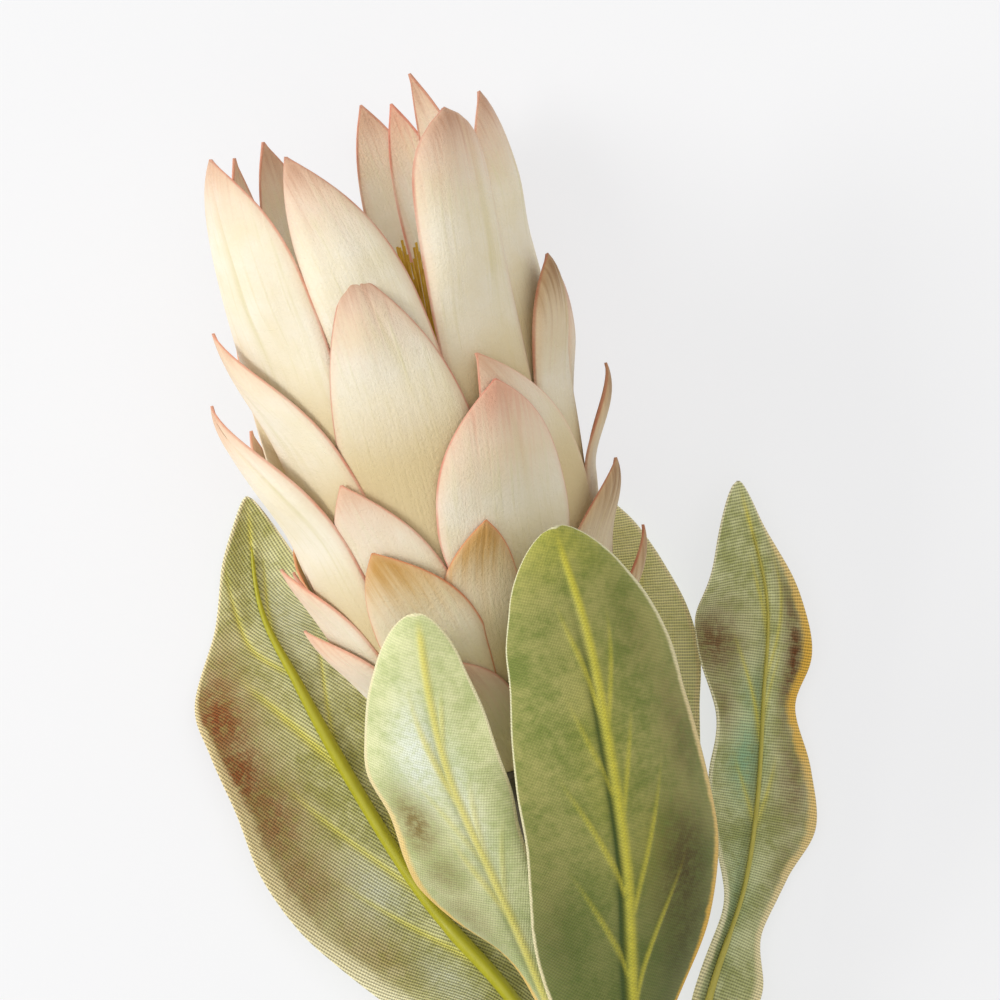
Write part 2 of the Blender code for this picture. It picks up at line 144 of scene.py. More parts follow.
# Bracts: name, azimuth at the foot and at the tip (0 is the front, + to the
# right), how far up the tip is, half width, layer from inside out, how far the
# tip leans out, where it comes free of the layers above, how blunt it is, and
# its finish.
BRACTS = [
    ("tall_bract_01", -49, -66, 128.7, 15.0, 3, 2.0, 84, 7.0, "coral"),
    ("tall_bract_02", -4, -27, 126.2, 11.0, 2, 1.5, 86, 5.0, "tan"),
    ("tall_bract_03", 31, 39, 126.8, 10.0, 1, 2.0, 84, 14.0, "tan"),
    ("tall_bract_04", 68, 68, 127.4, 12.0, 0, 1.6, 94, 7.0, "tan"),
    ("tall_bract_05", 136, 148, 132.8, 9.0, 0, 0.5, 116, 3.0, "tan"),
    ("tall_bract_06", 154, 161, 127.6, 7.5, 1, 0.3, 92, 5.0, "peach"),
    ("tall_bract_07", 165, 174, 128.8, 8.5, 2, 0.3, 92, 5.0, "tan"),
    ("tall_bract_08", -150, -138, 127.8, 9.0, 0, 0.5, 92, 5.0, "tan"),
    ("tall_bract_09", -126, -121, 126.4, 8.0, 1, 0.5, 92, 4.0, "coral"),
    ("tall_bract_10", -98, -102, 112.0, 9.0, 0, -0.5, 92, 3.0, "coral"),
    ("tall_bract_11", -82, -84, 107.0, 11.0, 1, 0.3, 92, 4.0, "coral"),
    ("upper_bract_01", -6, -11, 102.4, 15.0, 4, 1.0, 76, 2.8, "tan"),
    ("upper_bract_02", -36, -79, 95.0, 8.5, 5, 2.3, 70, 4.0, "coral"),
    ("upper_bract_03", 63, 73, 92.4, 9.0, 2, 2.0, 66, 10.0, "umber"),
    ("upper_bract_04", 98, 95, 86.3, 9.0, 1, 3.0, 60, 4.0, "tan"),
    ("upper_bract_05", 129, 131, 92.0, 9.0, 3, 1.0, 70, 3.4, "coral"),
    ("upper_bract_06", 173, 173, 97.0, 8.0, 3, 0.5, 72, 3.2, "tan"),
    ("upper_bract_07", -151, -150, 90.0, 9.5, 2, 0.5, 72, 3.6, "coral"),
    ("upper_bract_08", -107, -106, 93.0, 10.5, 2, 1.0, 74, 3.2, "coral"),
    ("middle_bract_01", -46, -86, 81.0, 8.0, 7, 3.5, 48, 5.0, "coral"),
    ("middle_bract_02", -25, -31, 61.6, 12.7, 6, 0.5, 48, 2.6, "coral"),
    ("middle_bract_03", 22, 27, 73.6, 15.2, 6, 0.6, 46, 3.8, "peach"),
    ("middle_bract_04", 42, 24, 79.3, 15.0, 5, -0.4, 66, 2.2, "coral"),
    ("middle_bract_05", 84, 90, 67.7, 9.0, 4, 5.5, 48, 4.0, "umber"),
    ("middle_bract_06", 130, 128, 70.0, 11.0, 4, 1.6, 48, 3.4, "coral"),
    ("middle_bract_07", 166, 168, 72.0, 11.0, 5, 1.5, 52, 3.2, "coral"),
    ("middle_bract_08", -143, -145, 68.0, 8.0, 3, 1.0, 50, 3.6, "tan"),
    ("middle_bract_09", -100, -105, 73.0, 10.5, 3, 2.0, 48, 3.2, "coral"),
    ("lower_bract_01", -53, -72, 47.4, 6.5, 8, 1.2, 32, 3.0, "coral"),
    ("lower_bract_02", -17, -26, 47.7, 11.5, 8, 0.5, 30, 3.2, "ochre"),
    ("lower_bract_03", 4, 13, 47.9, 8.5, 7, 0.3, 36, 4.0, "ochre"),
    ("lower_bract_04", 63, 74, 50.4, 12.0, 7, 3.0, 34, 4.0, "umber"),
    ("lower_bract_05", 116, 118, 46.0, 11.0, 5, 1.5, 34, 3.2, "tan"),
    ("lower_bract_06", 160, 160, 50.0, 11.0, 6, 1.0, 34, 3.4, "ochre"),
    ("lower_bract_07", -156, -158, 45.0, 11.0, 4, 1.0, 34, 3.2, "tan"),
    ("lower_bract_08", -109, -110, 48.0, 11.0, 4, 1.5, 34, 3.4, "ochre"),
    ("lower_bract_09", -79, -82, 45.0, 8.0, 5, 0.5, 32, 3.2, "tan"),
    ("base_bract_01", -50, -74, 35.0, 6.5, 9, 1.2, 16, 4.0, "coral"),
    ("base_bract_02", -10, -22, 26.0, 8.5, 9, 0.3, 14, 3.2, "tan"),
    ("base_bract_03", 32, 36, 32.0, 9.5, 8, 0.3, 16, 3.2, "tan"),
    ("base_bract_04", 84, 88, 36.5, 7.5, 8, 5.5, 14, 2.6, "umber"),
    ("base_bract_05", 134, 136, 31.0, 9.5, 7, 1.0, 14, 3.2, "ochre"),
    ("base_bract_06", 180, 180, 29.0, 9.5, 7, 1.0, 14, 3.2, "tan"),
    ("base_bract_07", -124, -122, 32.0, 9.5, 5, 1.0, 14, 3.2, "tan"),
]

# Forms of the bracts in view: where the keel runs (-1 left edge, 1 right edge), how
# high it is, where a groove runs, and how deep it is. The rest take PLAIN_FORM.
PLAIN_FORM = (0.1, 0.5, -0.25, 0.18)
FORMS = {
    "tall_bract_01": (0.3, 0.9, -0.02, 0.75),
    "tall_bract_02": (-0.45, 2.6, 0.5, 0.1),
    "tall_bract_03": (-0.35, 1.3, 0.45, 0.4),
    "tall_bract_04": (-0.2, 1.2, 0.35, 0.5),
    "tall_bract_06": (0.1, 0.5, 0.0, 0.5),
    "upper_bract_01": (-0.2, 1.7, 0.32, 0.6),
    "upper_bract_02": (0.1, 0.9, -0.4, 0.3),
    "upper_bract_03": (-0.2, 1.0, 0.3, 0.5),
    "middle_bract_01": (0.0, 0.8, 0.45, 0.5),
    "middle_bract_02": (-0.2, 0.9, 0.3, 0.25),
    "middle_bract_03": (0.0, 0.8, 0.3, 0.3),
    "middle_bract_04": (-0.1, 0.8, 0.4, 0.3),
    "lower_bract_02": (-0.3, 1.1, 0.3, 0.2),
    "lower_bract_03": (-0.35, 0.8, 0.12, 0.7),
    "lower_bract_04": (0.0, 0.7, -0.3, 0.45),
    "base_bract_02": (-0.1, 0.7, 0.3, 0.4),
}

# Leaves: the midrib's points from the stem to the tip, the way it faces at its
# foot, above the foot and at its tip, the half widths to the left and right at even
# steps, the fold of each half, the ripple of the margins (height, waves, start), the
# side that the wire is on, and the wire's radius at its foot, middle and tip. Veins
# are (foot, end, reach to the side, strength, width); stains and tints are (up,
# across, length, width, strength). The rim's width and how golden it is are given at
# even steps, left and right. Deep is how much darker the leaf is made low down. Then
# come the midline's width low and high and its strength, the valley beside it, pressed
# in and darkened by painted shade (side, depth), and the angle between the cloth's ribs
# and the midrib.
LEAVES = {
    "leaf_back_left": dict(
        midrib=[(-6.0, -86, -2.2), (-15.2, -52.1, -12.5), (-25.2, -30.7, -20), (-32.9, -5.4, -26),
                (-38.5, 18.7, -29.2), (-41.4, 34.9, -31.1), (-37.8, 57.8, -33.1)],
        face=((0.92, 0, 0.4), (0.1, 0, 1), (0.1, 0, 1)),
        left=[1.5, 7, 14, 19.1, 22.1, 25.8, 26.7, 24.6, 23.5, 21.3, 10.4, 6.3, 3],
        right=[1.5, 7.5, 11, 13.8, 15.8, 17, 17.8, 17.8, 17.2, 16, 13, 8.5, 3.5],
        fold=(12, 8), ripple=(1.2, 2.2, 0.1), rib=1, wire=(1.15, 1.35, 0.35),
        veins=[(0.71, 0.93, -1.0, 0.9, 0.8), (0.77, 0.94, 0.32, 0.8, 0.7), (0.58, 0.78, 0.62, 0.8, 0.7),
               (0.55, 0.77, -0.52, 1.0, 1.3), (0.36, 0.62, -0.6, 0.85, 0.9),
               (0.22, 0.48, -0.6, 0.85, 0.9), (0.42, 0.62, 0.7, 0.7, 0.7)],
        stains=[(0.71, -0.8, 0.09, 0.35, 1.0), (0.63, -0.85, 0.08, 0.35, 1.0),
                (0.56, -0.72, 0.09, 0.3, 0.8), (0.47, -0.75, 0.08, 0.35, 0.6),
                (0.36, -0.7, 0.08, 0.3, 0.4)],
        tints=[(0.41, -0.3, 0.05, 0.2, 0.6), (0.25, -0.4, 0.06, 0.2, 0.5), (0.8, 0.3, 0.1, 0.4, 0.4)],
        rim=((3.0, 4.2, 3.6, 0.9, 0.6), (0.9, 0.9, 0.8, 0.6, 0.5)),
        gold=((0.0, 0.0, 0.25, 0.3, 0.1), (0.2, 0.2, 0.2, 0.1, 0.1)), deep=0.1,
        midline=(0.6, 0.5, 0.8), valley=(0.0, 0.0), bias=28),
    "leaf_front_left": dict(
        midrib=[(-4.9, -72, 3.8), (-7.6, -43.2, 16), (-10, -22.9, 26), (-12.5, -2.2, 33.5),
                (-12.2, 14.2, 37.5), (-9.8, 33.6, 40.0)],
        face=((-0.75, 0, 0.65), (-0.3, 0, 1), (-0.3, 0, 1)),
        left=[1.5, 2.5, 3.9, 7.4, 14, 17.6, 17.4, 17, 19.1, 17.4, 14.5, 10.5, 8],
        right=[1.5, 3, 5, 6.5, 7.5, 8, 8.7, 10.4, 11, 10.6, 9.2, 6.8, 5],
        fold=(-16, -10), ripple=(1.1, 2.4, 0.35), rib=-1, wire=(1.15, 0.8, 0.35),
        veins=[(0.58, 0.88, -0.34, 0.8, 0.8), (0.32, 0.56, -0.34, 0.6, 0.8), (0.7, 0.86, 0.3, 0.6, 0.6),
               (0.44, 0.68, 0.4, 0.5, 0.8), (0.36, 0.56, 0.8, 0.4, 0.7), (0.45, 0.7, -0.5, 0.4, 0.7)],
        stains=[(0.57, -0.65, 0.07, 0.28, 1.0), (0.46, -0.55, 0.07, 0.3, 0.6),
                (0.35, -0.6, 0.08, 0.3, 0.6)],
        tints=[(0.72, -0.3, 0.12, 0.3, 0.9), (0.6, 0.1, 0.16, 0.3, 0.5)],
        rim=((1.2, 1.9, 1.9, 1.0, 0.7), (0.9, 0.9, 0.7, 0.6, 0.5)),
        gold=((0.5, 0.9, 0.7, 0.2, 0.1), (0.5, 0.4, 0.2, 0.1, 0.1)), deep=0.2,
        midline=(0.9, 0.7, 0.95), valley=(-1.0, 0.35), bias=68),
    "leaf_front_right": dict(
        midrib=[(3.8, -88, 4.0), (10.3, -56.3, 15), (16.3, -28.9, 26), (19.5, -3.1, 34),
                (21.4, 20.4, 38.5), (20.7, 42.7, 41.0)],
        face=((0.75, 0, 0.65), (0.35, 0, 1), (0.35, 0, 1)),
        left=[1.5, 7.5, 13, 17.5, 20, 20.4, 20.1, 20.2, 19, 17.2, 16.1, 12.5, 9],
        right=[1.5, 7.5, 13, 18, 22, 24.7, 24.6, 23.4, 21.7, 20.2, 16.6, 11.6, 8],
        fold=(-14, -18), ripple=(0.9, 1.6, 0.6), rib=-1, wire=(1.15, 0.8, 0.35),
        veins=[(0.66, 0.9, -0.36, 0.8, 0.55), (0.53, 0.74, -0.44, 0.6, 0.55),
               (0.37, 0.62, -0.62, 0.8, 0.55),
               (0.24, 0.46, -0.64, 0.7, 0.55), (0.65, 0.86, 0.36, 0.7, 0.55),
               (0.5, 0.7, 0.32, 0.7, 0.55), (0.34, 0.6, 0.52, 0.8, 0.55), (0.2, 0.44, 0.6, 0.8, 0.55)],
        stains=[(0.39, 0.55, 0.12, 0.33, 1.0), (0.3, 0.62, 0.12, 0.33, 0.9),
                (0.6, 0.75, 0.14, 0.25, 0.5),
                (0.78, 0.6, 0.1, 0.3, 0.25), (0.2, 0.5, 0.1, 0.3, 0.4), (0.33, -0.8, 0.12, 0.25, 0.3)],
        tints=[(1.0, 0.0, 0.07, 1.5, 0.8), (0.6, -0.1, 0.2, 0.25, 0.35), (0.45, 0.2, 0.08, 0.2, 0.4)],
        rim=((0.8, 0.7, 0.5, 0.3, 0.25), (1.8, 2.4, 1.8, 1.4, 0.4)),
        gold=((0.3, 0.2, 0.1, 0.0, 0.0), (0.8, 1.0, 0.6, 0.15, 0.0)), deep=0.62,
        midline=(1.0, 0.6, 1.0), valley=(-1.7, 0.9), bias=58),
    "leaf_back_right": dict(
        midrib=[(4.7, -80, -2.4), (12, -49.5, -13), (20, -22.4, -21.8), (26, 3, -27),
                (29, 22.6, -29.3), (30, 39.5, -31.2)],
        face=((-0.9, 0, 0.42), (-0.1, 0, 1), (-0.1, 0, 1)),
        left=[1.5, 5, 8.3, 11, 13.4, 15.2, 16.4, 17, 16.7, 15.2, 12.2, 8, 5],
        right=[1.5, 5, 8.3, 11, 13.4, 15.2, 16, 16.4, 17.4, 15.9, 12.4, 8.5, 5],
        fold=(6, 10), ripple=(0.8, 2.0, 0.2), rib=1, wire=(1.15, 0.8, 0.35),
        veins=[(0.3, 0.6, -0.9, 0.6, 0.8), (0.45, 0.76, -0.9, 0.6, 0.8), (0.6, 0.9, -0.8, 0.6, 0.8),
               (0.3, 0.6, 0.9, 0.6, 0.8), (0.45, 0.76, 0.9, 0.6, 0.8), (0.6, 0.9, 0.8, 0.6, 0.8)],
        stains=[(0.45, 0.7, 0.12, 0.3, 0.4)],
        tints=[(0.8, 0.2, 0.3, 1.0, 0.5)],
        rim=((1.2, 1.0, 0.9, 0.8, 0.6), (1.4, 1.8, 1.4, 0.9, 0.5)),
        gold=((0.3, 0.2, 0.1, 0.1, 0.1), (0.5, 0.5, 0.3, 0.2, 0.1)), deep=0.0,
        midline=(0.7, 0.5, 0.7), valley=(0.0, 0.0), bias=85),
    "leaf_side_right": dict(
        midrib=[(4.5, -106, -1.1), (25.6, -64, -8.5), (38.2, -45.4, -12.6), (45.0, -31.0, -15.0),
                (52.4, -10.2, -16.2), (58.9, 9.6, -17.7), (60.0, 34.5, -18.8)],
        face=((-0.98, 0, 0.18), (0.25, 0, 1), (0.15, 0, 1)),
        left=[1.5, 2.4, 3, 3.4, 3.6, 6.2, 9.5, 11.3, 10.6, 15.1, 15.2, 9.6, 4.5],
        right=[1.5, 4, 8, 10.7, 7.7, 9.9, 13.6, 12, 8, 9.9, 7.3, 3.6, 2],
        fold=(12, -12), ripple=(2.0, 3.4, 0.3), rib=1, wire=(1.15, 0.45, 0.2),
        veins=[(0.77, 0.92, -0.2, 0.7, 0.6), (0.61, 0.8, -0.52, 0.8, 0.7), (0.49, 0.62, -0.6, 0.6, 0.7),
               (0.7, 0.92, 0.75, 0.7, 0.6), (0.48, 0.62, 0.35, 0.6, 0.7), (0.63, 0.78, 0.35, 0.6, 0.6)],
        stains=[(0.77, -0.75, 0.07, 0.45, 0.9), (0.75, 0.62, 0.12, 0.25, 1.0),
                (0.57, 0.62, 0.09, 0.35, 0.7), (0.68, -0.8, 0.05, 0.3, 0.6),
                (0.45, 0.7, 0.08, 0.3, 0.4)],
        tints=[(0.6, -0.3, 0.07, 0.35, 0.9), (0.68, -0.2, 0.05, 0.3, 0.6), (0.36, -0.3, 0.1, 0.5, 0.5)],
        rim=((1.4, 1.5, 1.0, 0.3, 0.25), (1.4, 2.0, 2.4, 2.3, 0.25)),
        gold=((0.2, 0.1, 0.0, 0.0, 0.0), (0.2, 0.2, 0.6, 1.0, 0.0)), deep=0.15,
        midline=(0.6, 0.5, 0.9), valley=(-1.2, 0.35), bias=85),
}


# ---- shape helpers ----

def smooth(x):
    """Ease from 0 to 1 with no slope at either end."""
    x = np.clip(x, 0.0, 1.0)
    return x * x * (3.0 - 2.0 * x)


def unit(vectors):
    """Each vector divided by its length."""
    return vectors / np.maximum(np.linalg.norm(vectors, axis=-1, keepdims=True), 1e-12)


def head_radius(up):
    """The bowl's radius: a quick exponential swell, then a square-law taper."""
    taper = MOUTH_TAPER * (np.clip(up - SHOULDER_UP, 0.0, None) / MOUTH_REACH) ** 2
    return FOOT_RADIUS + BOWL_RISE * (1.0 - np.exp(-up / BOWL_REACH)) - taper


def head_slope(up):
    """How fast the bowl's radius grows on the way up."""
    taper = 2.0 * MOUTH_TAPER * np.clip(up - SHOULDER_UP, 0.0, None) / MOUTH_REACH ** 2
    return BOWL_RISE / BOWL_REACH * np.exp(-up / BOWL_REACH) - taper


def shell_point(up, offset):
    """Radius and height of the point that lies offset outside the bowl at up."""
    slope = head_slope(up)
    length = np.hypot(1.0, slope)
    return head_radius(up) + offset / length, up - offset * slope / length


def place(across, up, front):
    """Lay the flower down: tilt it about its foot, then lift and shift it."""
    y = up * math.cos(TILT) - front * math.sin(TILT)
    z = up * math.sin(TILT) + front * math.cos(TILT) + FOOT_HEIGHT
    return np.stack([across + SHIFT[0], y + SHIFT[1], z + SHIFT[2]], axis=-1) * MM


def seed_of(name):
    """A repeatable number from 0 to 1 for a piece's name."""
    total = sum((i + 3) * ord(letter) for i, letter in enumerate(name))
    return (total * 0.6180339887) % 1.0


def curve_through(points, s):
    """A smooth curve through the points (Hermite, slopes from neighbours)."""
    points = np.array(points, dtype=float)
    chord = np.sqrt(np.linalg.norm(np.diff(points, axis=0), axis=1))
    knots = np.concatenate([[0.0], np.cumsum(chord)]) / chord.sum()
    slopes = np.gradient(points, knots, axis=0)
    span = np.clip(np.searchsorted(knots, s, side="right") - 1, 0, len(knots) - 2)
    width = knots[span + 1] - knots[span]
    u = ((s - knots[span]) / width)[..., None]
    start, end = points[span], points[span + 1]
    lead, trail = slopes[span] * width[..., None], slopes[span + 1] * width[..., None]
    return ((2 * u ** 3 - 3 * u ** 2 + 1) * start + (u ** 3 - 2 * u ** 2 + u) * lead
            + (3 * u ** 2 - 2 * u ** 3) * end + (u ** 3 - u ** 2) * trail)


def new_piece(name, points, faces, finish, replaced, attributes=()):
    """A finished mesh that stands in for a solid and rides on the flower's one body."""
    mesh = bpy.data.meshes.new(name)
    mesh.from_pydata(points.reshape(-1, 3).tolist(), [], faces)
    for key, values in dict(attributes).items():
        layer = mesh.attributes.new(key, "FLOAT_VECTOR", "POINT")
        layer.data.foreach_set("vector", np.ascontiguousarray(values, np.float32).ravel())
    mesh.shade_smooth()
    mesh.materials.append(finish)
    piece = bpy.data.objects.new(name, mesh)
    bpy.context.scene.collection.objects.link(piece)
    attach(piece, "root")
    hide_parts(replaced)
    return piece


def grid_faces(rows, columns, start=0):
    """Quads of a grid of (rows + 1) x (columns + 1) points, row by row."""
    index = start + np.arange((rows + 1) * (columns + 1)).reshape(rows + 1, columns + 1)
    return np.stack([index[:-1, :-1], index[:-1, 1:], index[1:, 1:], index[1:, :-1]],
                    axis=-1).reshape(-1, 4)


def closed_sheet(middle, half_thickness):
    """Points and faces of a thin body round a middle surface.

    Each grid point goes half a thickness out and in along the surface's normal,
    and the two skins are sewn together along the grid's border.
    """
    rows, columns = middle.shape[0] - 1, middle.shape[1] - 1
    down = np.gradient(middle, axis=0)
    side = np.gradient(middle, axis=1)
    normal = unit(np.cross(side, down))
    lift = normal * (half_thickness * MM)[..., None]
    points = np.concatenate([(middle + lift).reshape(-1, 3), (middle - lift).reshape(-1, 3)])
    count = (rows + 1) * (columns + 1)
    front = grid_faces(rows, columns)
    back = grid_faces(rows, columns, count)[:, ::-1]
    index = np.arange(count).reshape(rows + 1, columns + 1)
    border = np.concatenate([index[0, :-1], index[:-1, -1], index[-1, :0:-1], index[:0:-1, 0]])
    ahead = np.roll(border, -1)
    rim = np.stack([border, border + count, ahead + count, ahead], axis=-1)
    return points, np.concatenate([front, back, rim]).tolist()


def both_skins(layers):
    """The grid's attributes, once for the outer skin and once for the inner one."""
    return {key: np.tile(value.reshape(-1, 3), (2, 1)) for key, value in layers.items()}


def wrap_rings(rings, ends, turned=False):
    """Rings of points sewn into a tube, with a fan to the point at each end.

    Rings that run the other way round are turned, so that the faces point outwards.
    """
    count, sides = rings.shape[:2]
    points = np.concatenate([rings.reshape(-1, 3), ends])
    index = np.arange(count * sides).reshape(count, sides)
    ahead = np.roll(index, -1, axis=1)
    if turned:
        index, ahead = ahead, index
    walls = np.stack([index[:-1], ahead[:-1], ahead[1:], index[1:]], axis=-1).reshape(-1, 4)
    low = np.stack([ahead[0], index[0], np.full(sides, count * sides)], axis=-1)
    high = np.stack([index[-1], ahead[-1], np.full(sides, count * sides + 1)], axis=-1)
    return points, walls.tolist() + low.tolist() + high.tolist()


def tube(path, radii, sides):
    """A round tube along a path, closed by a fan at each end.

    The ring's directions are carried along the path without twist.
    """
    along = unit(np.gradient(path, axis=0))
    side = np.zeros_like(path)
    guess = np.cross(along[0], [0.0, 0.0, 1.0])
    if np.linalg.norm(guess) < 1e-3:
        guess = np.cross(along[0], [0.0, 1.0, 0.0])
    for i, direction in enumerate(along):
        guess = guess - np.dot(guess, direction) * direction
        guess = guess / np.linalg.norm(guess)
        side[i] = guess
    over = np.cross(along, side)
    turn = np.linspace(0.0, 2.0 * math.pi, sides, endpoint=False)
    rings = (path[:, None] + radii[:, :, None] * (
        np.cos(turn)[None, :, None] * side[:, None] + np.sin(turn)[None, :, None] * over[:, None]))
    return wrap_rings(rings, path[[0, -1]])


# ---- material helpers ----

# Settings that many nodes share: a mix of colours, and a range with eased ends.
COLOURS = {"data_type": "RGBA"}
EASED = {"interpolation_type": "SMOOTHSTEP"}


def colour(hex_value):
    """An sRGB hex value as a linear RGBA colour."""
    parts = [int(hex_value[i:i + 2], 16) / 255.0 for i in (1, 3, 5)]
    return (*[c / 12.92 if c <= 0.04045 else ((c + 0.055) / 1.055) ** 2.4 for c in parts], 1.0)


def add(tree, kind, settings=None, inputs=None):
    """Add a node. An input is a value, a node, or a node with an output's name."""
    node = tree.nodes.new(kind)
    for key, value in (settings or {}).items():
        setattr(node, key, value)
    for key, value in (inputs or {}).items():
        socket = next(s for s in node.inputs if s.enabled and key in (s.name, s.identifier))
        if isinstance(value, tuple) and isinstance(value[0], bpy.types.Node):
            tree.links.new(value[0].outputs[value[1]], socket)
        elif isinstance(value, bpy.types.Node):
            tree.links.new(next(s for s in value.outputs if s.enabled), socket)
        else:
            socket.default_value = value
    return node


def new_material(name):
    """A new material with an empty node tree, and that tree."""
    finish = bpy.data.materials.new(name)
    finish.use_nodes = True
    finish.node_tree.nodes.clear()
    return finish, finish.node_tree


def bract_material(name, tip, reach, strength, heart, blush, line):
    """Pressed polyester felt, airbrushed at the tip and edged by a dyed line.

    The eye gets a soft matt cream with faint lengthwise striations and a napped
    grain, painted shade along the groove, a tinted tip (tip over reach mm, heart
    in its last third), a faint blush and a thin line along the margin, and a
    painted warm shade that makes the foot deeper where the next row covers it.
    """
    finish, tree = new_material(name)
    blade = add(tree, "ShaderNodeAttribute", {"attribute_name": "blade"})
    cloth = add(tree, "ShaderNodeAttribute", {"attribute_name": "cloth"})
    rise = add(tree, "ShaderNodeAttribute", {"attribute_name": "rise"})
    at = add(tree, "ShaderNodeSeparateXYZ", {}, {"Vector": (blade, "Vector")})
    level = add(tree, "ShaderNodeSeparateXYZ", {}, {"Vector": (rise, "Vector")})
    long_fibres = add(tree, "ShaderNodeVectorMath", {"operation": "MULTIPLY"},
                      {"Vector": (cloth, "Vector"), "Vector_001": (1.1, 0.05, 1.0)})
    streaks = add(tree, "ShaderNodeTexNoise", {}, {"Vector": long_fibres, "Scale": 1.0,
                                                  "Detail": 4.0, "Roughness": 0.6})
    clouds = add(tree, "ShaderNodeTexNoise", {}, {"Vector": (cloth, "Vector"), "Scale": 0.11,
                                                 "Detail": 3.0})
    # The body colour drifts between two creams, with yellower striations, and the groove
    # gets a painted shade in the same yellow.
    drift = add(tree, "ShaderNodeMapRange", {}, {"Value": (clouds, "Fac"), "From Min": 0.35,
                                                "From Max": 0.7})
    body = add(tree, "ShaderNodeMix", COLOURS,
               {"Factor": drift, "A": colour("#F9F1DE"), "B": colour("#F4E9CC")})
    lines = add(tree, "ShaderNodeMapRange", EASED,
                {"Value": (streaks, "Fac"), "From Min": 0.5, "From Max": 0.72, "To Max": 0.28})
    streaks_and_groove_shade = add(tree, "ShaderNodeMath", {"operation": "ADD", "use_clamp": True},
                  {"Value": lines, "Value_001": (at, "Z")})
    veined = add(tree, "ShaderNodeMix", COLOURS,
                 {"Factor": streaks_and_groove_shade, "A": body, "B": colour("#DDD3A0")})
    # Painted shade: below where it comes free, under the next row, it is deeper and warmer.
    low = add(tree, "ShaderNodeMapRange", EASED,
              {"Value": (level, "X"), "From Min": -16.0, "From Max": 5.0, "To Min": 0.9,
               "To Max": 0.0})
    with_foot_shade = add(tree, "ShaderNodeMix", COLOURS,
                 {"Factor": low, "A": veined, "B": colour("#DEC898")})
    # The tip is airbrushed, with an uneven front.
    uneven = add(tree, "ShaderNodeMath", {"operation": "MULTIPLY_ADD"},
                 {"Value": (streaks, "Fac"), "Value_001": 0.7 * reach,
                  "Value_002": (at, "Y")})
    tipped = add(tree, "ShaderNodeMapRange", EASED,
                 {"Value": uneven, "From Min": 0.3 * reach, "From Max": 1.6 * reach,
                  "To Min": strength, "To Max": 0.0})
    tinted = add(tree, "ShaderNodeMix", COLOURS,
                 {"Factor": tipped, "A": with_foot_shade, "B": colour(tip)})
    core = add(tree, "ShaderNodeMapRange", EASED,
               {"Value": uneven, "From Min": 0.25 * reach, "From Max": 0.9 * reach,
                "To Min": strength, "To Max": 0.0})
    hearted = add(tree, "ShaderNodeMix", COLOURS,
                  {"Factor": core, "A": tinted, "B": colour(heart)})
    # A blush runs inside the margin, and the dyed line sits on it, both broken up.
    pale = add(tree, "ShaderNodeMapRange", EASED,
               {"Value": (at, "X"), "From Min": 0.0, "From Max": 2.4, "To Min": 0.35,
                "To Max": 0.0})
    blushed = add(tree, "ShaderNodeMix", COLOURS,
                  {"Factor": pale, "A": hearted, "B": colour(blush)})
    broken = add(tree, "ShaderNodeMapRange", {}, {"Value": (clouds, "Fac"), "From Min": 0.3,
                                                 "From Max": 0.65, "To Min": 0.4,
                                                 "To Max": 1.0})
    dye = add(tree, "ShaderNodeMapRange", EASED,
              {"Value": (at, "X"), "From Min": 0.15, "From Max": 0.55, "To Min": broken,
               "To Max": 0.0})
    edged = add(tree, "ShaderNodeMix", COLOURS,
                {"Factor": dye, "A": blushed, "B": colour(line)})
    # The nap: tufts of 0.5 mm, coarser than the real fibres, so that they show.
    nap = add(tree, "ShaderNodeTexNoise", {}, {"Vector": (cloth, "Vector"), "Scale": 2.0,
                                              "Detail": 4.0, "Roughness": 0.65})
    relief = add(tree, "ShaderNodeMath", {"operation": "MULTIPLY_ADD"},
                 {"Value": (streaks, "Fac"), "Value_001": 0.9, "Value_002": (nap, "Fac")})
    bump = add(tree, "ShaderNodeBump", {}, {"Strength": 0.6, "Distance": 0.0005,
                                           "Height": relief})
    shader = add(tree, "ShaderNodeBsdfPrincipled", {},
                 {"Base Color": edged, "Roughness": 0.85, "Sheen Weight": 0.12,
                  "Sheen Roughness": 0.5, "Specular IOR Level": 0.2, "Normal": bump,
                  "Subsurface Weight": 0.1, "Subsurface Scale": 0.004,
                  "Subsurface Radius": (1.0, 0.8, 0.6)})
    add(tree, "ShaderNodeOutputMaterial", {}, {"Surface": shader})
    return finish


